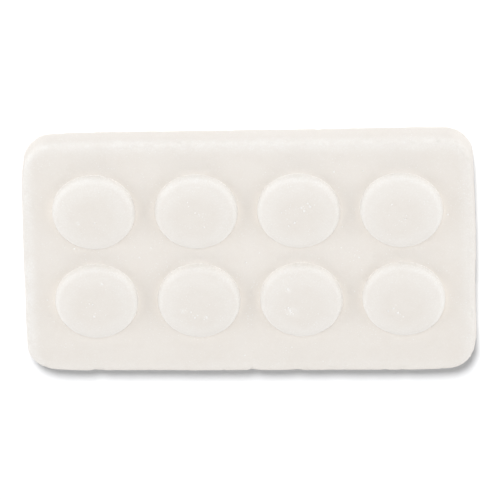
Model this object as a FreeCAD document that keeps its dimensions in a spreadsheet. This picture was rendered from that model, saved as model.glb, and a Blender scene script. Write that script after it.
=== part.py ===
import FreeCAD, Part
import math
import os

import Sketcher

# A gymnastics chalk block, lying flat: a pressed slab with rows of round grip domes on its face.
# X runs along the slab, Z points up out of the face, and the origin is the centre of the underside.
document = FreeCAD.newDocument("chalk_block")

columns = 4
rowNames = ["front", "back"]
rows = len(rowNames)

# Every length is in millimetres and every angle in degrees.
drivingSizes = [
    ("slabThickness", 8.0, "height of the slab, from the flat underside to the face"),
    ("cornerRadius", 9.0, "plan radius of the slab's four corners, at the underside"),
    ("wallDraft", 3.0, "lean of the slab's side walls, so that it leaves the mould"),
    ("faceRound", 1.6, "rounding of the edge between the side walls and the face"),
    ("footBreak", 0.4, "small bevel around the underside"),
    ("domeDiameter", 25.4, "diameter of a dome at its foot"),
    ("domeHeight", 5.4, "height of a dome above the face"),
    ("domeDraft", 6.0, "lean of a dome's side"),
    ("rimRound", 4.4, "rounding between a dome's side and its flat top"),
    ("domeGap", 6.6, "clear face between neighbouring domes"),
    ("endMargin", 10.1, "from the outer domes to the short ends of the slab"),
    ("frontMargin", 11.7, "from the front domes to the front side of the slab"),
    ("backMargin", 14.4, "from the back domes to the back side of the slab"),
    ("crumbRadius", 0.5, "radius of a middling loose crumb"),
]

# Sizes that follow from the driving ones.
pitch = "(Sizes.domeDiameter + Sizes.domeGap)"
blockLength = f"({columns - 1} * {pitch} + Sizes.domeDiameter + 2 * Sizes.endMargin)"
blockWidth = f"({rows - 1} * {pitch} + Sizes.domeDiameter + Sizes.frontMargin + Sizes.backMargin)"
rowShift = "((Sizes.frontMargin - Sizes.backMargin) / 2)"  # the rows lie a little off the slab's middle

# Loose crumbs on the face. Each lies near a crossing of the gaps between the domes: which gap it is
# counted from the first column, how far it strays along X and Y, and its size beside a middling one.
crumbs = [
    (0.5, -2.4, 1.3, 1.0),
    (0.5, 3.1, -2.2, 0.7),
    (1.5, 0.9, 2.9, 0.8),
    (1.5, -3.3, -0.6, 0.6),
    (2.5, 2.2, 0.8, 1.0),
    (2.5, -1.5, -2.7, 0.7),
    (2.5, 3.6, -3.0, 0.6),
]


def makeSheet():
    sheet = document.addObject("Spreadsheet::Sheet", "Sizes")
    for row, (name, value, meaning) in enumerate(drivingSizes, start=1):
        sheet.set(f"A{row}", name)
        sheet.set(f"B{row}", str(value))
        sheet.set(f"C{row}", meaning)
        sheet.setAlias(f"B{row}", name)
    document.recompute()
    return sheet


def newBody(name):
    body = document.addObject("PartDesign::Body", name)
    body.Label = name
    return body


def newSketch(body, name):
    """A sketch on the body's own XY plane."""
    sketch = body.newObject("Sketcher::SketchObject", name)
    plane = [feature for feature in body.Origin.OriginFeatures if feature.Role == "XY_Plane"][0]
    sketch.AttachmentSupport = [(plane, "")]
    sketch.MapMode = "FlatFace"
    return sketch


def drive(sketch, constraint, name, expression):
    """Adds a named dimension to the sketch and ties it to the sheet."""
    index = sketch.addConstraint(constraint)
    sketch.renameConstraint(index, name)
    sketch.setExpression(f"Constraints.{name}", expression)


def drawRoundedRectangle(sketch):
    """Four sides joined by four equal tangent arcs, centred on the origin."""
    halfLength, halfWidth, radius = 70, 40, 9  # only a start for the solver
    centres = []
    for signX, signY in ((1, -1), (1, 1), (-1, 1), (-1, -1)):
        centres.append(FreeCAD.Vector(signX * (halfLength - radius), signY * (halfWidth - radius), 0))
    for side in range(4):
        start = math.radians(90 * (side - 1))
        outward = FreeCAD.Vector(math.cos(start), math.sin(start), 0) * radius
        sketch.addGeometry(Part.LineSegment(centres[side - 1] + outward, centres[side] + outward))
        circle = Part.Circle(centres[side], FreeCAD.Vector(0, 0, 1), radius)
        sketch.addGeometry(Part.ArcOfCircle(circle, start, start + math.radians(90)))
    for piece in range(8):
        sketch.addConstraint(Sketcher.Constraint("Tangent", piece, 2, (piece + 1) % 8, 1))
    for line, direction in ((0, "Horizontal"), (2, "Vertical"), (4, "Horizontal"), (6, "Vertical")):
        sketch.addConstraint(Sketcher.Constraint(direction, line))
    for arc in (3, 5, 7):
        sketch.addConstraint(Sketcher.Constraint("Equal", 1, arc))
    sketch.addConstraint(Sketcher.Constraint("Symmetric", 1, 3, 5, 3, -1, 1))
    drive(sketch, Sketcher.Constraint("Radius", 1, radius), "corner", "Sizes.cornerRadius")
    drive(sketch, Sketcher.Constraint("DistanceX", 6, 1, 2, 1, 2 * halfLength), "length", blockLength)
    drive(sketch, Sketcher.Constraint("DistanceY", 0, 1, 4, 1, 2 * halfWidth), "width", blockWidth)


def padUp(body, sketch, name, length, draft):
    """Raises the sketch and leans its sides inwards."""
    pad = body.newObject("PartDesign::Pad", name)
    pad.Profile = sketch
    pad.setExpression("Length", length)
    pad.setExpression("TaperAngle", f"-{draft}")
    document.recompute()
    return pad


def edgesAt(feature, height):
    """Names of the feature's edges that lie level at the height."""
    names = []
    for number, edge in enumerate(feature.Shape.Edges, start=1):
        box = edge.BoundBox
        if abs(box.ZMin - height) < 1e-4 and abs(box.ZMax - height) < 1e-4:
            names.append(f"Edge{number}")
    return names


def dressEdges(body, kind, name, base, height, sizeProperty, size):
    """A fillet or chamfer on every edge of the base that lies level at the height."""
    dress = body.newObject(f"PartDesign::{kind}", name)
    dress.Base = (base, edgesAt(base, height))
    dress.setExpression(sizeProperty, size)
    document.recompute()
    return dress


def makeSlab(sheet):
    body = newBody("slab")
    outline = newSketch(body, "slabOutline")
    drawRoundedRectangle(outline)
    pad = padUp(body, outline, "slabPad", "Sizes.slabThickness", "Sizes.wallDraft")
    rounded = dressEdges(body, "Fillet", "slabFaceRound", pad, sheet.slabThickness, "Radius", "Sizes.faceRound")
    dressEdges(body, "Chamfer", "slabFootBreak", rounded, 0, "Size", "Sizes.footBreak")
    return body


def makeDome(sheet, column, row):
    """One dome, with its flat foot on the slab's face."""
    body = newBody(f"dome_{rowNames[row]}_{column + 1}")
    outline = newSketch(body, body.Name + "Outline")
    outline.addGeometry(Part.Circle(FreeCAD.Vector(0, 0, 0), FreeCAD.Vector(0, 0, 1), 12))
    outline.addConstraint(Sketcher.Constraint("Coincident", 0, 3, -1, 1))
    drive(outline, Sketcher.Constraint("Diameter", 0, 24), "foot", "Sizes.domeDiameter")
    pad = padUp(body, outline, body.Name + "Pad", "Sizes.domeHeight", "Sizes.domeDraft")
    dressEdges(body, "Fillet", body.Name + "Rim", pad, sheet.domeHeight, "Radius", "Sizes.rimRound")
    body.setExpression("Placement.Base.x", f"{column - (columns - 1) / 2} * {pitch}")
    body.setExpression("Placement.Base.y", f"{row - (rows - 1) / 2} * {pitch} + {rowShift}")
    body.setExpression("Placement.Base.z", "Sizes.slabThickness")
    return body


def makeCrumbs():
    """Small round-backed grains that lie on the face, flat side down."""
    grains = []
    for number, (gap, strayX, strayY, scale) in enumerate(crumbs, start=1):
        grain = document.addObject("Part::Sphere", f"crumb_{number}")
        grain.Angle1 = 0  # the upper half only
        grain.setExpression("Radius", f"{scale} * Sizes.crumbRadius")
        grain.setExpression("Placement.Base.x", f"{gap - (columns - 1) / 2} * {pitch} + {strayX}")
        grain.setExpression("Placement.Base.y", f"{strayY} + {rowShift}")
        grain.setExpression("Placement.Base.z", "Sizes.slabThickness")
        grains.append(grain)
    group = document.addObject("Part::Compound", "loose_crumbs")
    group.Label = "loose_crumbs"
    group.Links = grains
    return group


def checkDocument(subParts):
    document.recompute()
    for item in document.Objects:
        if "Invalid" in item.State or "Error" in item.State:
            raise RuntimeError(f"{item.Name} failed: {item.State}")
    for item in subParts:
        if item.Shape.isNull() or not item.Shape.isValid():
            raise RuntimeError(f"{item.Label} has no valid shape")


def writeSubParts(subParts):
    os.makedirs("parts", exist_ok=True)
    for item in subParts:
        item.Shape.exportStep(f"parts/{item.Label}.step")
        box = item.Shape.optimalBoundingBox(True, False)
        print(f"{item.Label}: {len(item.Shape.Solids)} solids, {item.Shape.Volume:.1f} mm3, "
              f"{box.XLength:.2f} x {box.YLength:.2f} x {box.ZLength:.2f} mm")


sheet = makeSheet()
subParts = [makeSlab(sheet)]
subParts += [makeDome(sheet, column, row) for row in range(rows) for column in range(columns)]
subParts.append(makeCrumbs())
checkDocument(subParts)
writeSubParts(subParts)
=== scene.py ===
import math

import bmesh
import bpy
import numpy as np
from mathutils import Matrix, Vector


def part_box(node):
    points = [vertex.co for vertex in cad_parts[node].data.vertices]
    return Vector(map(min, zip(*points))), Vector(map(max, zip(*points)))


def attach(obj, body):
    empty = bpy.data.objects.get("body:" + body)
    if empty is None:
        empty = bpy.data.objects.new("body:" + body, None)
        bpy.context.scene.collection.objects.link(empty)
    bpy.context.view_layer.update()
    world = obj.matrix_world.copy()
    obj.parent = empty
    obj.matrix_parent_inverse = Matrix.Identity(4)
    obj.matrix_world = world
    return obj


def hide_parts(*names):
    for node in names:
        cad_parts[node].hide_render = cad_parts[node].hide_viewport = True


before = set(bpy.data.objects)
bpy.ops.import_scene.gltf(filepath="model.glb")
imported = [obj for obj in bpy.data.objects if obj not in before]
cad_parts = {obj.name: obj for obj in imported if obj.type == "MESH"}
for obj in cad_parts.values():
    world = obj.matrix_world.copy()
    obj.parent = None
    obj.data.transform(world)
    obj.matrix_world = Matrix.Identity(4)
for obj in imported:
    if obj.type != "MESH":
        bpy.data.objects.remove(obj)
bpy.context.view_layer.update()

mm = 0.001
domeNames = sorted(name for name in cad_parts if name.startswith("dome_"))
slabLow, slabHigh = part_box("slab")
faceZ = slabHigh.z


def latticeValues(ix, iy, iz, seed):
    # one steady random number from -1 to 1 for each lattice corner
    mixed = ix * 73856093 ^ iy * 19349663 ^ iz * 83492791 ^ seed * 2654435761
    mixed = (mixed ^ (mixed >> 13)) * 1274126177 & 0x7FFFFFFF
    mixed = (mixed ^ (mixed >> 15)) * 2246822519 & 0x7FFFFFFF
    return (mixed & 0xFFFF) / 32767.5 - 1


def smoothNoise(points, cell, seed):
    # value noise with soft steps between lattice corners a cell apart
    scaled = points / cell
    corner = np.floor(scaled).astype(np.int64)
    part = scaled - corner
    part = part * part * (3 - 2 * part)
    total = np.zeros(len(points))
    for dx in (0, 1):
        for dy in (0, 1):
            for dz in (0, 1):
                weight = (np.where(dx, part[:, 0], 1 - part[:, 0])
                          * np.where(dy, part[:, 1], 1 - part[:, 1])
                          * np.where(dz, part[:, 2], 1 - part[:, 2]))
                total += weight * latticeValues(corner[:, 0] + dx, corner[:, 1] + dy, corner[:, 2] + dz, seed)
    return total


def layeredNoise(points, cell, layers, seed):
    total = np.zeros(len(points))
    for layer in range(layers):
        total += smoothNoise(points, cell / 2 ** layer, seed + layer) / 2 ** layer
    return total


def ramp(value, low, high):
    # 0 below low, 1 above high, and soft between them
    part = np.clip((value - low) / (high - low), 0, 1)
    return part * part * (3 - 2 * part)


def scattered(points, size, layers, seed, start, full):
    # 0 over most of a surface and up to 1 in places of about this size; a higher start makes them rarer
    return ramp(layeredNoise(points, size, layers, seed), start, full)


slabLook = {
    "cornerRadius": 9.0 * mm,     # in plan, at the foot
    "countCorner": 26,            # points round each corner
    "wallLean": 0.40 * mm,        # how far the wall leans in from foot to face
    "arris": 1.5 * mm,            # rounding between wall and face
    "rollDepth": 0.60 * mm,       # the face sinks this much towards the arris
    "rollWidth": 7.0 * mm,        # over this distance in from the outline
    "rollPower": 2.4,             # more keeps the sinking nearer to the outline
    "faceDrop": 0.05 * mm,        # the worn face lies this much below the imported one
    "footBevel": 0.4 * mm,
    "step": 0.46 * mm,            # mesh spacing on the face
    "wave": 0.05 * mm,            # long swells of the face
    "waveSize": 26 * mm,
    "lump": 0.035 * mm,           # small lumps of the face and the walls
    "faceLumpSize": 3.4 * mm,
    "wallLumpSize": 2.4 * mm,
    "pit": 0.14 * mm,             # deepest pits of the face
    "pitSize": 1.7 * mm,
    "wallWave": 0.13 * mm,        # drift of the side walls
    "wallWaveSize": 17 * mm,
    "flareAlong": 0.55 * mm,      # the slab is this much wider at the -X end and narrower at the other
    "flareAcross": 0.30 * mm,     # and this much longer along its back
    "wearWidth": 4.5 * mm,        # the wear of the arris runs this far in over the face
    "biteWidth": 1.1 * mm,        # bites lie about this close to the arris
    # bites out of the arris: size, layers and seed of the noise, where they start and are full, and depth
    "bites": [
        (2.6 * mm, 2, 83, 0.35, 0.95, 0.45 * mm),
        (0.9 * mm, 1, 91, 0.2, 0.9, 0.16 * mm),
        (9 * mm, 2, 97, 0.55, 1.0, 0.25 * mm),
    ],
    "nick": 0.16 * mm,            # deepest bites out of the foot's edge
    "nickSize": 3.2 * mm,
    "nickWidth": 0.9 * mm,
    "bruiseInset": 2 * mm,        # bruises are centred this far in from the sides
    # bruised edges and corners: where along X and Y as a share of the half size, how wide and how deep
    "bruises": [
        (-1, 1, 9.0 * mm, 1.0 * mm),
        (1, 1, 8.0 * mm, 0.7 * mm),
        (1, -0.93, 8.5 * mm, 1.3 * mm),
        (-1, 0.5, 16.0 * mm, 0.75 * mm),
    ],
    # the underside: pulled-out pits, drag marks along X and a slight hollow, each with its size
    "basePit": 0.30 * mm,
    "basePitSize": 3.0 * mm,
    "baseDrag": 0.06 * mm,
    "baseDragSize": 1.6 * mm,
    "baseHollow": 0.08 * mm,
    "baseHollowSize": 30 * mm,
}


def insetFromOutline(x, y):
    # distance in from the slab's rounded outline
    radius = slabLook["cornerRadius"]
    overX = np.abs(x) - (slabHigh.x - radius)
    overY = np.abs(y) - (slabHigh.y - radius)
    outside = np.hypot(np.maximum(overX, 0), np.maximum(overY, 0))
    return radius - outside - np.minimum(np.maximum(overX, overY), 0)


def rollOff(inset):
    # how far the face has sunk at this distance from the outline
    share = np.clip(1 - inset / slabLook["rollWidth"], 0, 1)
    return slabLook["rollDepth"] * share ** slabLook["rollPower"]


def faceHeight(x, y):
    look = slabLook
    flat = np.column_stack([x, y, np.zeros(len(x))])
    swell = layeredNoise(flat, look["waveSize"], 2, 11) * look["wave"]
    lumps = layeredNoise(flat, look["faceLumpSize"], 3, 23) * look["lump"]
    pits = scattered(flat, look["pitSize"], 1, 37, 0.62, 0.95) * look["pit"]
    return faceZ - look["faceDrop"] - rollOff(insetFromOutline(x, y)) + swell + lumps - pits


def undersideHeight(x, y):
    # struck-off flat, touching the surface below; its noise is cut well away from the face's
    look = slabLook
    flat = np.column_stack([x, y, np.full(len(x), 0.31)])
    pits = scattered(flat, look["basePitSize"], 2, 131, 0.55, 1.05) * look["basePit"]
    drag = scattered(flat * [0.08, 1, 1], look["baseDragSize"], 2, 137, 0.1, 1.1) * look["baseDrag"]
    hollowShadeTint = scattered(flat, look["baseHollowSize"], 1, 139, -0.3, 0.9) * look["baseHollow"]
    return pits + drag + hollowShadeTint


def roundedRing(inset, countX, countY, countCorner):
    # one loop of points round the slab, with its outward directions
    radius = slabLook["cornerRadius"]
    coreX, coreY = slabHigh.x - radius, slabHigh.y - radius
    places, outs = [], []
    sides = [
        ((-coreX, -coreY), (coreX, -coreY), countX),
        ((coreX, -coreY), (coreX, coreY), countY),
        ((coreX, coreY), (-coreX, coreY), countX),
        ((-coreX, coreY), (-coreX, -coreY), countY),
    ]
    for number, (start, end, count) in enumerate(sides):
        angle = math.radians(90 * (number - 1))
        out = np.array([math.cos(angle), math.sin(angle)])
        share = np.arange(count)[:, None] / count
        places.append(np.array(start) * (1 - share) + np.array(end) * share + out * (radius - inset))
        outs.append(np.repeat(out[None], count, axis=0))
        turns = angle + np.arange(countCorner) / countCorner * math.pi / 2
        arc = np.column_stack([np.cos(turns), np.sin(turns)])
        places.append(np.array(end) + arc * (radius - inset))
        outs.append(arc)
    return np.vstack(places), np.vstack(outs)


def gridRim(countX, countY, countCorner):
    # grid place (column, row) under each point of a ring that has shrunk onto the inner rectangle
    rim = [(i, 0) for i in range(countX)] + [(countX, 0)] * countCorner
    rim += [(countX, j) for j in range(countY)] + [(countX, countY)] * countCorner
    rim += [(i, countY) for i in range(countX, 0, -1)] + [(0, countY)] * countCorner
    rim += [(0, j) for j in range(countY, 0, -1)] + [(0, 0)] * countCorner
    return rim


def slabProfile():
    # inset and height up the section, from the underside round to the face
    radius, lean, arris = slabLook["cornerRadius"], slabLook["wallLean"], slabLook["arris"]
    bevel = slabLook["footBevel"]
    section = [(inset, 0.0) for inset in np.linspace(radius, bevel * 1.6, 9)[1:]]
    for turn in np.linspace(0, 90, 5):
        angle = math.radians(turn)
        section.append((bevel - bevel * math.sin(angle), bevel - bevel * math.cos(angle)))
    wallTop = faceZ - arris
    for share in np.linspace(0, 1, 14)[1:]:
        height = bevel + (wallTop - bevel) * share
        section.append((lean * height / wallTop, height))
    for turn in np.linspace(0, 90, 10)[1:]:
        angle = math.radians(turn)
        section.append((lean + arris - arris * math.cos(angle), wallTop + arris * math.sin(angle)))
    faceStart = lean + arris
    rows = int((radius - faceStart) / slabLook["step"])
    section += [(inset, faceZ) for inset in np.linspace(faceStart, radius, rows + 1)[1:-1]]
    return section


def shapeSlabPoints(flatPlaces, outs, inset, height):
    # worn shape of one ring: walls drift, the arris chips and the face rolls off
    look = slabLook
    arris, lean = look["arris"], look["wallLean"]
    places = np.column_stack([flatPlaces, np.full(len(flatPlaces), height)])
    places[:, 2] -= rollOff(inset) * ramp(height, faceZ * 0.3, faceZ)
    drift = layeredNoise(places * [1, 1, 0.6], look["wallWaveSize"], 3, 51) * look["wallWave"]
    lumps = layeredNoise(places, look["wallLumpSize"], 3, 67) * look["lump"]
    edgeFade = 1 - ramp(inset, arris * 1.2, look["cornerRadius"])
    keystone = (look["flareAcross"] * outs[:, 0] ** 2 * flatPlaces[:, 1] / slabHigh.y
                - look["flareAlong"] * outs[:, 1] ** 2 * flatPlaces[:, 0] / slabHigh.x)
    move = (drift + lumps + keystone) * edgeFade
    # bites are largest where wall and face meet
    fromArris = math.hypot(inset - lean - arris * 0.3, height - faceZ + arris * 0.3)
    nearArris = math.exp(-(fromArris / look["biteWidth"]) ** 2)
    bites = np.zeros(len(places))
    for size, layers, seed, start, full, depth in look["bites"]:
        bites += scattered(places, size, layers, seed, start, full) * depth
    nearFoot = math.exp(-(math.hypot(max(inset, 0), height) / look["nickWidth"]) ** 2)
    nicks = scattered(places, look["nickSize"], 2, 101, 0.55, 1.1) * look["nick"]
    bruise = np.zeros(len(places))
    for shareX, shareY, width, depth in look["bruises"]:
        fromX = flatPlaces[:, 0] - shareX * (slabHigh.x - look["bruiseInset"])
        fromY = flatPlaces[:, 1] - shareY * (slabHigh.y - look["bruiseInset"])
        bruise += np.exp(-(np.hypot(fromX, fromY) / width) ** 2) * depth
    inward = bites * nearArris + nicks * nearFoot + bruise * edgeFade
    places[:, :2] += outs * (move - inward)[:, None]
    places[:, 2] -= bites * nearArris * 0.8
    return places


def slabRing(flatPlaces, outs, inset, height):
    # one worn ring, joined smoothly to the face above it or set on the underside
    look = slabLook
    x, y = flatPlaces[:, 0], flatPlaces[:, 1]
    ring = shapeSlabPoints(flatPlaces, outs, inset, height)
    if height == faceZ:
        face = faceHeight(x, y)
        blend = ramp(inset, look["arris"] + look["wallLean"], look["wearWidth"])
        worn = ring[:, 2] + (face - faceZ + rollOff(inset))
        ring[:, 2] = worn * (1 - blend) + face * blend
    elif height > faceZ - look["arris"]:
        extra = faceHeight(x, y) - faceZ + rollOff(insetFromOutline(x, y))
        ring[:, 2] += extra * (height - faceZ + look["arris"]) / look["arris"]
    elif height == 0:
        ring[:, 2] = undersideHeight(ring[:, 0], ring[:, 1])
    return ring


def loopFaces(first, second, count):
    # quads between two loops of points, which start at these numbers
    here = np.arange(count)
    there = (here + 1) % count
    return np.column_stack([first + here, first + there, second + there, second + here]).tolist()


def buildSlab():
    look = slabLook
    coreX, coreY = slabHigh.x - look["cornerRadius"], slabHigh.y - look["cornerRadius"]
    countX, countY = [int(round(core / look["step"])) * 2 for core in (coreX, coreY)]
    gridX = np.linspace(-coreX, coreX, countX + 1)
    gridY = np.linspace(-coreY, coreY, countY + 1)
    points, faces = [], []
    ringStarts = []
    offset = 0
    for inset, height in slabProfile():
        flatPlaces, outs = roundedRing(inset, countX, countY, look["countCorner"])
        ringStarts.append(offset)
        offset += len(flatPlaces)
        points.append(slabRing(flatPlaces, outs, inset, height))
    perRing = len(points[0])
    for first, second in zip(ringStarts[:-1], ringStarts[1:]):
        faces += loopFaces(first, second, perRing)

    # the middle of the face, one fine grid
    faceStart = offset
    cellX, cellY = np.meshgrid(gridX, gridY, indexing="ij")
    cellX, cellY = cellX.ravel(), cellY.ravel()
    points.append(np.column_stack([cellX, cellY, faceHeight(cellX, cellY)]))
    stride = countY + 1
    for i in range(countX):
        low = faceStart + i * stride + np.arange(countY)
        faces += np.column_stack([low, low + stride, low + stride + 1, low + 1]).tolist()
    gridPlaces = gridRim(countX, countY, look["countCorner"])
    rim = [faceStart + i * stride + j for i, j in gridPlaces]
    last = ringStarts[-1]
    for spot in range(perRing):
        following = (spot + 1) % perRing
        corners = [last + spot, last + following, rim[following], rim[spot]]
        faces.append(list(dict.fromkeys(corners)))

    # the middle of the underside, a grid half as fine
    baseStart = faceStart + len(cellX)
    coarseX, coarseY = np.meshgrid(gridX[::2], gridY[::2], indexing="ij")
    coarseX, coarseY = coarseX.ravel(), coarseY.ravel()
    points.append(np.column_stack([coarseX, coarseY, undersideHeight(coarseX, coarseY)]))
    coarseStride = countY // 2 + 1
    for i in range(countX // 2):
        low = baseStart + i * coarseStride + np.arange(countY // 2)
        faces += np.column_stack([low, low + 1, low + coarseStride + 1, low + coarseStride]).tolist()
    spot = 0
    while spot < perRing:
        here, there = gridPlaces[spot], gridPlaces[(spot + 1) % perRing]
        reach = 1 if here == there else 2  # two fine edges meet one coarse edge
        there = gridPlaces[(spot + reach) % perRing]
        outer = [ringStarts[0] + (spot + k) % perRing for k in range(reach, -1, -1)]
        inner = [baseStart + (i // 2) * coarseStride + j // 2 for i, j in (here, there)]
        faces.append(list(dict.fromkeys(outer + inner)))
        spot += reach
    return makePiece("slab_skin", np.vstack(points), faces)


def makePiece(name, points, faces):
    mesh = bpy.data.meshes.new(name)
    mesh.from_pydata(points.tolist(), [], faces)
    mesh.validate()
    mesh.polygons.foreach_set("use_smooth", np.ones(len(mesh.polygons), dtype=bool))
    mesh.update()
    piece = bpy.data.objects.new(name, mesh)
    bpy.context.scene.collection.objects.link(piece)
    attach(piece, "root")
    return piece


domeLook = {
    "around": 224,                # points round a dome
    "flare": 0.12 * mm,           # the foot runs out into the face on this radius
    "crown": 2.55,                # roundness above the foot: 2 is an ellipse, more is squarer
    "settle": 0.8 * mm,           # above this height a dome no longer follows the face below it
    "dish": 0.08 * mm,            # sink of a dome's middle
    "dishSpread": 1.4,            # more keeps the dish nearer to the middle
    "grow": 0.22 * mm,            # powder that widens the foot a little
    "sink": 0.12 * mm,            # a worn top lies this much lower
    "tilt": 0.004,                # steepest lean of a whole top, as rise over run
    "lump": 0.05 * mm,
    "lumpSize": 3.0 * mm,
    "pit": 0.12 * mm,
    "pitSize": 1.5 * mm,
    "wobble": 0.10 * mm,          # drift of the outline from round
    "wobbleSize": 6 * mm,
    "wobbleReach": 9 * mm,        # the drift is read off a circle this large
    "steepShare": 0.35,           # below this share of the height lumps push sideways, not up
    # a hidden skirt, so that the foot closes below the face: how far out of the foot and how deep
    "skirt": [(-0.6 * mm, 0.7 * mm), (0.2 * mm, 0.5 * mm), (0.2 * mm, 0.07 * mm)],
}


def domePlace(name):
    # middle and radius of a packed dome, in plan
    low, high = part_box(name)
    return (low.x + high.x) / 2, (low.y + high.y) / 2, (high.x - low.x) / 2


def domeProfile(radius, height):
    # reach and rise from the foot's outer edge up to the middle of the top
    flare, power = domeLook["flare"], 2 / domeLook["crown"]
    section = []
    for turn in np.linspace(0, 80, 6):
        angle = math.radians(turn)
        section.append((radius + flare - flare * math.sin(angle), flare - flare * math.cos(angle)))
    footReach, footRise = section[-1]
    for turn in np.linspace(0, 88.5, 44)[1:]:
        angle = math.radians(turn)
        rise = footRise + (height - footRise) * math.sin(angle) ** power
        section.append((footReach * math.cos(angle) ** power, rise))
    return section


def buildDome(name, number):
    look = domeLook
    low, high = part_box(name)
    centreX, centreY, packedRadius = domePlace(name)
    radius, height = packedRadius + look["grow"], high.z - low.z
    around = look["around"]
    turns = np.arange(around) / around * 2 * math.pi
    arc = np.column_stack([np.cos(turns), np.sin(turns)])
    seed = 200 + number * 7
    tiltX, tiltY = latticeValues(np.array([1, 2]), np.array([3, 4]), np.array([5, 6]), seed) * look["tilt"]
    points = []
    for out, drop in look["skirt"]:
        ring = arc * (radius + look["flare"] + out) + [centreX, centreY]
        points.append(np.column_stack([ring, faceHeight(ring[:, 0], ring[:, 1]) - drop]))
    for reach, rise in domeProfile(radius, height - look["sink"]):
        ring = arc * reach + [centreX, centreY]
        lifted = min(rise / look["settle"], 1)
        worn = faceZ - slabLook["faceDrop"]
        ground = faceHeight(ring[:, 0], ring[:, 1]) * (1 - lifted) + worn * lifted
        tilt = (arc[:, 0] * tiltX + arc[:, 1] * tiltY) * reach * lifted
        sink = look["dish"] * max(1 - (reach / radius * look["dishSpread"]) ** 2, 0)
        spots = np.column_stack([ring, ground + rise + tilt - sink])
        circle = np.column_stack([arc * look["wobbleReach"], np.full(around, rise)])
        outline = layeredNoise(circle, look["wobbleSize"], 2, seed) * look["wobble"]
        lumps = layeredNoise(spots, look["lumpSize"], 3, seed + 3) * look["lump"]
        pits = scattered(spots, look["pitSize"], 1, seed + 5, 0.62, 0.95) * look["pit"]
        steep = 1 - ramp(rise, height * look["steepShare"], height)
        spots[:, :2] += arc * ((outline + lumps) * steep * lifted)[:, None]
        spots[:, 2] += (lumps - pits) * (1 - steep) * lifted
        points.append(spots)
    faces = []
    for ring in range(len(points) - 1):
        faces += loopFaces(ring * around, (ring + 1) * around, around)
    topStart = (len(points) - 1) * around
    points.append(points[-1].mean(axis=0)[None])
    tip = topStart + around
    faces += [[topStart + k, topStart + (k + 1) % around, tip] for k in range(around)]
    faces.append(list(range(around))[::-1])
    return makePiece(name + "_skin", np.vstack(points), faces)


crumbLook = {
    "onFace": 60,                 # scattered grains, of which those under a dome are dropped
    "onDomes": 20,
    "smallest": 0.10 * mm,
    "largest": 0.37 * mm,
    "packedShare": 0.65,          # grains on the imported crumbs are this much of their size
    "margin": 3 * mm,             # none of the others lies closer to the slab's sides
    "topReach": 8.6 * mm,         # how far from a dome's middle its scattered grains lie
    "clear": 14.2 * mm,           # grains on the face keep this far from a dome's middle
    "bedded": 0.10,               # how deep they sit, as a share of their size
    "bump": 0.35,                 # unevenness of a grain
    # dome, place across and along it from its middle, spread and count
    "clusters": [
        ("dome_front_4", 4.8 * mm, 1.4 * mm, 0.7 * mm, 4),
        ("dome_front_4", -2.0 * mm, 2.0 * mm, 5.0 * mm, 5),
        ("dome_front_3", 0.0 * mm, -2.0 * mm, 5.0 * mm, 8),
        ("dome_front_2", -3.5 * mm, -4.0 * mm, 4.0 * mm, 11),
        ("dome_front_2", 2.0 * mm, 3.0 * mm, 4.0 * mm, 4),
        ("dome_front_1", -1.0 * mm, 0.0 * mm, 6.0 * mm, 5),
        ("dome_back_4", 1.5 * mm, 3.0 * mm, 5.0 * mm, 9),
        ("dome_back_4", -2.0 * mm, -8.2 * mm, 1.0 * mm, 3),
        ("dome_back_3", -2.2 * mm, 4.0 * mm, 0.9 * mm, 9),
        ("dome_back_3", 5.0 * mm, 1.4 * mm, 1.0 * mm, 4),
        ("dome_back_3", 1.0 * mm, 3.0 * mm, 5.0 * mm, 7),
        ("dome_back_2", 2.9 * mm, 1.8 * mm, 1.9 * mm, 11),
        ("dome_back_2", 4.0 * mm, -6.0 * mm, 1.5 * mm, 4),
        ("dome_back_1", 1.0 * mm, 3.0 * mm, 4.0 * mm, 6),
    ],
}


def crumbCentres():
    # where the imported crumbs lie, and how large they are
    made = bmesh.new()
    made.from_mesh(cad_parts["loose_crumbs"].data)
    left = set(made.verts)
    spots = []
    while left:
        group, front = set(), [left.pop()]
        while front:
            vert = front.pop()
            group.add(vert)
            for edge in vert.link_edges:
                other = edge.other_vert(vert)
                if other in left:
                    left.discard(other)
                    front.append(other)
        places = np.array([vert.co for vert in group])
        middle = (places.min(axis=0) + places.max(axis=0)) / 2
        spots.append((middle[0], middle[1], np.ptp(places[:, 0]) / 2))
    made.free()
    return sorted(spots)


def domeRise(reach):
    # height of a dome's surface above the face at this distance from its middle
    low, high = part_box(domeNames[0])
    radius = domePlace(domeNames[0])[2] + domeLook["grow"]
    reaches, rises = zip(*reversed(domeProfile(radius, high.z - low.z - domeLook["sink"])))
    return float(np.interp(reach, reaches, rises)) - domeLook["dish"]


def grainSize(random, power):
    # a higher power makes large grains rarer
    smallest, largest = crumbLook["smallest"], crumbLook["largest"]
    return smallest + (largest - smallest) * random.random() ** power


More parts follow.
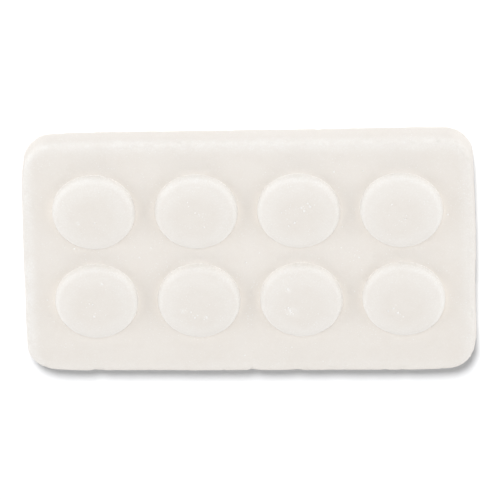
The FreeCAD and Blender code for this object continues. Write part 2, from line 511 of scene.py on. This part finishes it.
def grainSpots(random):
    # place and size of each grain; one on the face gets its height later
    look = crumbLook
    spots = [(x, y, None, size * look["packedShare"]) for x, y, size in crumbCentres()]
    for _ in range(look["onFace"]):
        x = random.uniform(slabLow.x + look["margin"], slabHigh.x - look["margin"])
        y = random.uniform(slabLow.y + look["margin"], slabHigh.y - look["margin"])
        spots.append((x, y, None, grainSize(random, 3)))
    for _ in range(look["onDomes"]):
        centreX, centreY = domePlace(domeNames[random.integers(len(domeNames))])[:2]
        turn, reach = random.uniform(0, 2 * math.pi), look["topReach"] * math.sqrt(random.random())
        x, y = centreX + reach * math.cos(turn), centreY + reach * math.sin(turn)
        spots.append((x, y, faceZ + domeRise(reach), grainSize(random, 3)))
    for name, acrossX, acrossY, spread, count in look["clusters"]:
        centreX, centreY = domePlace(name)[:2]
        for _ in range(count):
            turn, reach = random.uniform(0, 2 * math.pi), spread * random.random()
            x = centreX + acrossX + reach * math.cos(turn)
            y = centreY + acrossY + reach * math.sin(turn)
            size = grainSize(random, 2)
            spots.append((x, y, faceZ + domeRise(math.hypot(x - centreX, y - centreY)), size))
    return spots


def buildCrumbs():
    look = crumbLook
    random = np.random.default_rng(404)
    spots = grainSpots(random)
    middles = [domePlace(name)[:2] for name in domeNames]
    ball = bmesh.new()
    bmesh.ops.create_icosphere(ball, subdivisions=2, radius=1)
    unit = np.array([vert.co for vert in ball.verts])
    triangles = np.array([[vert.index for vert in face.verts] for face in ball.faces])
    ball.free()
    points, faces, offset = [], [], 0
    for number, (x, y, z, size) in enumerate(spots):
        if z is None:
            if min(math.dist((x, y), middle) for middle in middles) < look["clear"]:
                continue
            z = faceHeight(np.array([x]), np.array([y]))[0]
        bumpy = 1 + look["bump"] * layeredNoise(unit * 1.3 + number * 7.7, 1.0, 2, 300)
        stretch = [random.uniform(low, high) for low, high in ((0.8, 1.3), (0.7, 1.1), (0.35, 0.55))]
        turn = random.uniform(0, 2 * math.pi)
        across, along = math.cos(turn), math.sin(turn)
        spin = np.array([[across, -along, 0], [along, across, 0], [0, 0, 1]])
        grain = (unit * bumpy[:, None] * stretch * size) @ spin.T
        points.append(grain + [x, y, z - size * look["bedded"]])
        faces += (triangles + offset).tolist()
        offset += len(unit)
    return makePiece("loose_crumb_grains", np.vstack(points), faces)


class Wire:
    # wraps a socket, so that shader maths reads as plain expressions
    tree = None

    def __init__(self, socket):
        self.socket = socket

    @classmethod
    def node(cls, kind, settings=None, sockets=None, output=0):
        made = cls.tree.nodes.new(kind)
        for name, value in (settings or {}).items():
            setattr(made, name, value)
        for name, value in (sockets or {}).items():
            if isinstance(value, Wire):
                cls.tree.links.new(value.socket, made.inputs[name])
            else:
                made.inputs[name].default_value = value
        return cls(made.outputs[output]) if made.outputs else None

    def maths(self, operation, left, right):
        return Wire.node("ShaderNodeMath", {"operation": operation}, {0: left, 1: right})

    def __add__(self, other):
        return self.maths("ADD", self, other)

    def __radd__(self, other):
        return self.maths("ADD", other, self)

    def __rsub__(self, other):
        return self.maths("SUBTRACT", other, self)

    def __mul__(self, other):
        return self.maths("MULTIPLY", self, other)

    def __rmul__(self, other):
        return self.maths("MULTIPLY", other, self)


def newMaterial(name):
    material = bpy.data.materials.new(name)
    material.use_nodes = True
    material.node_tree.nodes.clear()
    Wire.tree = material.node_tree
    return material


def noise(place, size, detail=3.0, roughness=0.55):
    # a soft random value whose features are about this size
    return Wire.node("ShaderNodeTexNoise", {}, {
        "Vector": place, "Scale": 1 / size, "Detail": detail, "Roughness": roughness})


def band(value, low, high):
    # 0 below low, 1 above high
    return Wire.node("ShaderNodeMapRange", {"interpolation_type": "SMOOTHSTEP"}, {
        "Value": value, "From Min": low, "From Max": high})


def tint(share, plain, other):
    return Wire.node("ShaderNodeMix", {"data_type": "RGBA"}, {
        "Factor": share, "A": plain, "B": other}, output=2)


chalkLook = {
    "pressed": (0.842, 0.803, 0.757, 1),   # the face of the pressed chalk
    "deep": (0.800, 0.748, 0.692, 1),      # damp-looking clouds in it
    "paleTone": (0.930, 0.915, 0.888, 1),     # pale tone of dust and loose grains, also used for the painted highlights on rubbed edges and dome sides
    "fleck": (0.95, 0.945, 0.93, 1),       # loose pale grains
    "shadeWarm": (0.888, 0.831, 0.764, 1),      # painted warm tint of the shade in the hollows between the domes
    "cloudSize": 16 * mm,
    "mottleSize": 3.2 * mm,
    "grainSize": 0.55 * mm,
    "fleckSize": 0.9 * mm,
    "speckleSize": 0.55 * mm,
    "patchSize": 6 * mm,                   # flecks come in patches of this size
    "looseGrainSize": 0.25 * mm,
    # how strongly each tone shows
    "cloudShare": 0.18,
    "mottleShare": 0.22,
    "shadeWarmShare": 0.6,
    "dustShare": 0.25,
    "rubAndHighlightShare": 0.80,
    "speckleShare": 0.35,
    "fleckShare": 0.85,
    "bumpHeight": 0.12 * mm,
    "looseBumpHeight": 0.05 * mm,
}


def finishSurface(colour, roughness, normal):
    shader = Wire.node("ShaderNodeBsdfPrincipled", {}, {
        "Base Color": colour, "Roughness": roughness, "Normal": normal,
        "Specular IOR Level": 0.15, "IOR": 1.45})
    Wire.node("ShaderNodeOutputMaterial", {}, {"Surface": shader})


def makePressedChalk():
    look = chalkLook
    material = newMaterial("pressed_chalk")
    place = Wire.node("ShaderNodeTexCoord", output=3)
    cloud = noise(place, look["cloudSize"], 2.0)
    mottle = noise(place, look["mottleSize"], 4.0)
    grain = noise(place, look["grainSize"], 4.0, 0.65)
    fine = noise(place, look["grainSize"] / 3, 2.0)
    cells = Wire.node("ShaderNodeTexVoronoi", {}, {"Vector": place, "Scale": 1 / look["fleckSize"]})
    patchy = band(noise(place, look["patchSize"], 2.0), 0.50, 0.66)
    flecks = (1 - band(cells, 0.10, 0.24)) * patchy
    rubAndHighlight = Wire.node("ShaderNodeAttribute", {"attribute_name": "rubAndHighlight"}, output=2)
    hollowShadeTint = Wire.node("ShaderNodeAttribute", {"attribute_name": "hollowShadeTint"}, output=2)
    speckle = band(noise(place, look["speckleSize"], 3.0), 0.38, 0.66)
    deep = band(cloud, 0.42, 0.70) * look["cloudShare"] + band(mottle, 0.45, 0.72) * look["mottleShare"]
    colour = tint(deep, look["pressed"], look["deep"])
    # painted shade: a warm tint laid where the domes shade the face
    colour = tint(hollowShadeTint * look["shadeWarmShare"], colour, look["shadeWarm"])
    # the rub attribute carries rubbed wear together with painted highlights on the arris and the dome sides
    paleRubAndHighlight = rubAndHighlight * (look["rubAndHighlightShare"] + look["speckleShare"] * speckle)
    dustAndHighlight = band(grain, 0.52, 0.72) * look["dustShare"] + paleRubAndHighlight
    colour = tint(dustAndHighlight, colour, look["paleTone"])
    colour = tint(flecks * look["fleckShare"], colour, look["fleck"])
    roughness = 0.86 + 0.10 * (1 - grain)
    relief = grain * 0.55 + fine * 0.35 + flecks * 0.5 + mottle * 0.5
    normal = Wire.node("ShaderNodeBump", {}, {
        "Strength": 0.55, "Distance": look["bumpHeight"], "Height": relief})
    finishSurface(colour, roughness, normal)
    return material


def makeLooseChalk():
    look = chalkLook
    material = newMaterial("loose_chalk")
    place = Wire.node("ShaderNodeTexCoord", output=3)
    grain = noise(place, look["looseGrainSize"], 3.0)
    colour = tint(band(grain, 0.35, 0.7), look["paleTone"], look["fleck"])
    roughness = 0.88 + 0.08 * grain
    normal = Wire.node("ShaderNodeBump", {}, {
        "Strength": 0.5, "Distance": look["looseBumpHeight"], "Height": grain})
    finishSurface(colour, roughness, normal)
    return material


# pale rub on edges and dome sides, much of it a painted highlight where the lamps catch them
rubAndHighlightLook = {
    "arris": 1.5 * mm,            # the pale line on the slab, rub with a painted highlight, is centred this far in
    "arrisAtEnds": 0.6 * mm,      # and this much further at the two ends
    "arrisDepth": 0.8 * mm,       # and this far down
    "arrisWidth": 2.2 * mm,
    "plusEnd": 0.15,              # how much stronger the painted highlight is at the +X end
    "minusEnd": -0.30,
    "front": 0.68,                # how strong it is, and how much of that is lost along the back, whose edge faces away from the light
    "lostBehind": 0.63,
    "wall": 0.10,
    "side": 0.82,                 # the same for a dome's side and its shoulder, there mostly a painted highlight
    "shoulder": 0.36,
    "shadeAlong": 5.5 * mm,      # painted warm shade fades over this distance between domes
    "shadeBehind": 1.6 * mm,     # and over this one behind them
    "smear": 0.6,                 # dust round a tight cluster of grains
    "tightCluster": 2 * mm,
}


def mark(piece, name, amount):
    layer = piece.data.attributes.new(name, "FLOAT", "POINT")
    layer.data.foreach_set("value", np.clip(amount, 0, 1).astype(np.float32))


def markHollowShade(piece, spots):
    # painted shade: where the face lies between the domes of a row, beside the end ones and close behind
    # each, where the domes shade it
    hollowShadeTint = np.zeros(len(spots))
    for name in domeNames:
        centreX, centreY, radius = domePlace(name)
        acrossX, acrossY = spots[:, 0] - centreX, spots[:, 1] - centreY
        reach = np.hypot(acrossX, acrossY)
        past = np.maximum(reach - radius, 0)
        beside = (np.abs(acrossX) / np.maximum(reach, 1 * mm)) ** 2
        behind = ramp(acrossY / np.maximum(reach, 1 * mm), 0.2, 0.9)
        hollowShadeTint = np.maximum(hollowShadeTint, np.exp(-(past / rubAndHighlightLook["shadeAlong"]) ** 2) * beside)
        hollowShadeTint = np.maximum(hollowShadeTint, np.exp(-(past / rubAndHighlightLook["shadeBehind"]) ** 2) * behind)
    hollowShadeTint *= (spots[:, 2] > faceZ - 1 * mm) * (0.85 + 0.3 * layeredNoise(spots, 8 * mm, 2, 163))
    mark(piece, "hollowShadeTint", hollowShadeTint)


def pointsOf(piece):
    flat = np.empty(len(piece.data.vertices) * 3)
    piece.data.vertices.foreach_get("co", flat)
    return flat.reshape(-1, 3)


def rubAndHighlightSlab(piece):
    # paler along the arris and a little down the walls: rubbed chalk with a painted highlight where the arris
    # faces the light
    look = rubAndHighlightLook
    spots = pointsOf(piece)
    inset = insetFromOutline(spots[:, 0], spots[:, 1])
    ends = ramp(np.abs(spots[:, 0]), slabHigh.x - 6 * mm, slabHigh.x - 2 * mm)
    middle = look["arris"] + ends * look["arrisAtEnds"]
    fromArris = np.hypot(inset - middle, spots[:, 2] - faceZ + look["arrisDepth"])
    arris = np.exp(-(fromArris / look["arrisWidth"]) ** 2)
    # painted highlight: stronger at the +X end, weaker at the -X end, and faded along the back edge, which
    # faces away from the light
    arris *= 1 + ends * np.where(spots[:, 0] > 0, look["plusEnd"], look["minusEnd"])
    arris *= look["front"] - look["lostBehind"] * ramp(spots[:, 1], slabHigh.y - 6 * mm, slabHigh.y)
    wall = (1 - ramp(inset, 0.5 * mm, 2.5 * mm)) * look["wall"]
    patches = 0.78 + 0.28 * layeredNoise(spots, 5 * mm, 3, 151)
    patches *= 1 + 0.35 * layeredNoise(spots, 0.9 * mm, 2, 173)
    mark(piece, "rubAndHighlight", np.maximum(arris, wall) * patches)
    markHollowShade(piece, spots)


def rubAndHighlightDome(piece, name):
    # painted highlight up the side and over the shoulder, with some rubbed dust, less at the foot
    look = rubAndHighlightLook
    centreX, centreY, radius = domePlace(name)
    spots = pointsOf(piece)
    acrossX, acrossY = spots[:, 0] - centreX, spots[:, 1] - centreY
    reach = np.hypot(acrossX, acrossY)
    side = ramp(reach, radius * 0.865, radius * 0.975)
    shoulder = ramp(reach, radius * 0.38, radius * 0.82) * look["shoulder"]
    farSide = ramp(acrossY / radius, 0.2, 0.8)
    # the far side stays pale down to its foot, painted light against the shade there
    foot = 1 - (0.55 - 0.5 * farSide) * ramp(reach, radius * 1.018, radius * 1.036)
    patches = 0.92 + 0.16 * layeredNoise(spots, 4 * mm, 3, 157)
    rubAndHighlight = (side * look["side"] + shoulder * (1 - side)) * foot * patches
    # dust smeared round each tight cluster of crumbs
    grit = 0.75 + 0.5 * layeredNoise(spots, 0.9 * mm, 2, 167)
    for dome, clusterX, clusterY, spread, _ in crumbLook["clusters"]:
        if dome == name and spread < look["tightCluster"]:
            away = np.hypot(acrossX - clusterX, acrossY - clusterY)
            rubAndHighlight = np.maximum(rubAndHighlight, np.exp(-(away / (spread * 0.9)) ** 2) * grit * look["smear"])
    mark(piece, "rubAndHighlight", rubAndHighlight)


stageLook = {
    "camera": {"azimuth": -4.7, "elevation": 59.8, "roll": 183.6, "distance": 6.0, "across": 156.0 * mm},
    "aim": (-0.4 * mm, -3.0 * mm, 8.0 * mm),
    "world": 0.42,
    # azimuth and elevation round the object as for the camera, distance, width, height, power
    "lamps": {
        "front_low_softbox": (0, 12, 1.1, 0.6, 0.6, 1.1),
        "front_high_softbox": (0, 60, 1.1, 0.6, 0.6, 4.55),
        "left_softbox": (90, 22, 1.1, 0.6, 0.6, 3.3),
        "right_softbox": (-90, 22, 1.1, 0.6, 0.6, 3.1),
        "back_softbox": (180, 22, 1.1, 0.6, 0.6, 2.85),
    },
    # one broad lamp that only the floor receives makes it plain white, with a soft shadow
    "floorLamp": {"azimuth": 8, "elevation": 45, "angle": 18, "strength": 3.7},
    "floorHalf": 30,                       # metres from the middle of the floor to its sides
    "floorColour": (0.86, 0.866, 0.876, 1),
}


def directionTo(azimuth, elevation):
    turn, lift = math.radians(azimuth), math.radians(elevation)
    return Vector((math.sin(turn) * math.cos(lift), -math.cos(turn) * math.cos(lift), math.sin(lift)))


def buildCamera():
    look = stageLook["camera"]
    data = bpy.data.cameras.new("view")
    camera = bpy.data.objects.new("view", data)
    bpy.context.scene.collection.objects.link(camera)
    back = directionTo(look["azimuth"], look["elevation"])
    right = Vector((0, 0, 1)).cross(back).normalized()
    up = back.cross(right)
    facing = Matrix((right, up, back)).transposed()
    roll = Matrix.Rotation(math.radians(look["roll"]), 3, "Z")
    place = Vector(stageLook["aim"]) + back * look["distance"]
    camera.matrix_world = Matrix.Translation(place) @ (facing @ roll).to_4x4()
    data.lens = data.sensor_width * look["distance"] / look["across"]
    data.clip_start, data.clip_end = 0.1, 100
    bpy.context.scene.camera = camera


def buildLamps():
    for name, (azimuth, elevation, distance, width, height, power) in stageLook["lamps"].items():
        data = bpy.data.lights.new(name, "AREA")
        data.shape, data.energy = "RECTANGLE", power
        data.size, data.size_y = width, height
        lamp = bpy.data.objects.new(name, data)
        bpy.context.scene.collection.objects.link(lamp)
        back = directionTo(azimuth, elevation)
        lamp.location = back * distance
        lamp.rotation_euler = back.to_track_quat("Z", "Y").to_euler()
        keepFloor(lamp, "EXCLUDE")
    look = stageLook["floorLamp"]
    data = bpy.data.lights.new("floor_lamp", "SUN")
    data.angle, data.energy = math.radians(look["angle"]), look["strength"]
    lamp = bpy.data.objects.new("floor_lamp", data)
    bpy.context.scene.collection.objects.link(lamp)
    back = directionTo(look["azimuth"], look["elevation"])
    lamp.rotation_euler = back.to_track_quat("Z", "Y").to_euler()
    keepFloor(lamp, "INCLUDE")


def keepFloor(lamp, state):
    # EXCLUDE lights all but the floor, INCLUDE lights nothing but the floor
    receivers = bpy.data.collections.new(lamp.name + "_receivers")
    receivers.objects.link(bpy.data.objects["floor"])
    receivers.collection_objects[0].light_linking.link_state = state
    lamp.light_linking.receiver_collection = receivers


def buildWorld():
    world = bpy.data.worlds.new("studio")
    bpy.context.scene.world = world
    world.use_nodes = True
    world.node_tree.nodes.clear()
    Wire.tree = world.node_tree
    seen = Wire.node("ShaderNodeLightPath")
    strength = stageLook["world"] + seen * (1 - stageLook["world"])
    glow = Wire.node("ShaderNodeBackground", {}, {"Color": (1, 1, 1, 1), "Strength": strength})
    Wire.node("ShaderNodeOutputWorld", {}, {"Surface": glow})


def buildFloor():
    half = stageLook["floorHalf"]
    corners = [(-half, -half, 0), (half, -half, 0), (half, half, 0), (-half, half, 0)]
    mesh = bpy.data.meshes.new("floor")
    mesh.from_pydata(corners, [], [[0, 1, 2, 3]])
    floor = bpy.data.objects.new("floor", mesh)
    bpy.context.scene.collection.objects.link(floor)
    material = newMaterial("pale_floor")
    plain = Wire.node("ShaderNodeBsdfDiffuse", {}, {"Color": stageLook["floorColour"]})
    Wire.node("ShaderNodeOutputMaterial", {}, {"Surface": plain})
    mesh.materials.append(material)


bpy.context.scene.view_settings.view_transform = "Standard"
buildCamera()
buildWorld()
buildFloor()
buildLamps()
print("set built")

pressedChalk = makePressedChalk()
looseChalk = makeLooseChalk()

slabSkin = buildSlab()
rubAndHighlightSlab(slabSkin)
slabSkin.data.materials.append(pressedChalk)
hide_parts("slab")
print("slab built,", len(slabSkin.data.polygons), "faces")

for number, name in enumerate(domeNames):
    skin = buildDome(name, number)
    rubAndHighlightDome(skin, name)
    skin.data.materials.append(pressedChalk)
    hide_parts(name)
print("domes built,", len(skin.data.polygons), "faces each")

grains = buildCrumbs()
grains.data.materials.append(looseChalk)
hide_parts("loose_crumbs")
print("crumbs built,", len(grains.data.polygons), "faces")
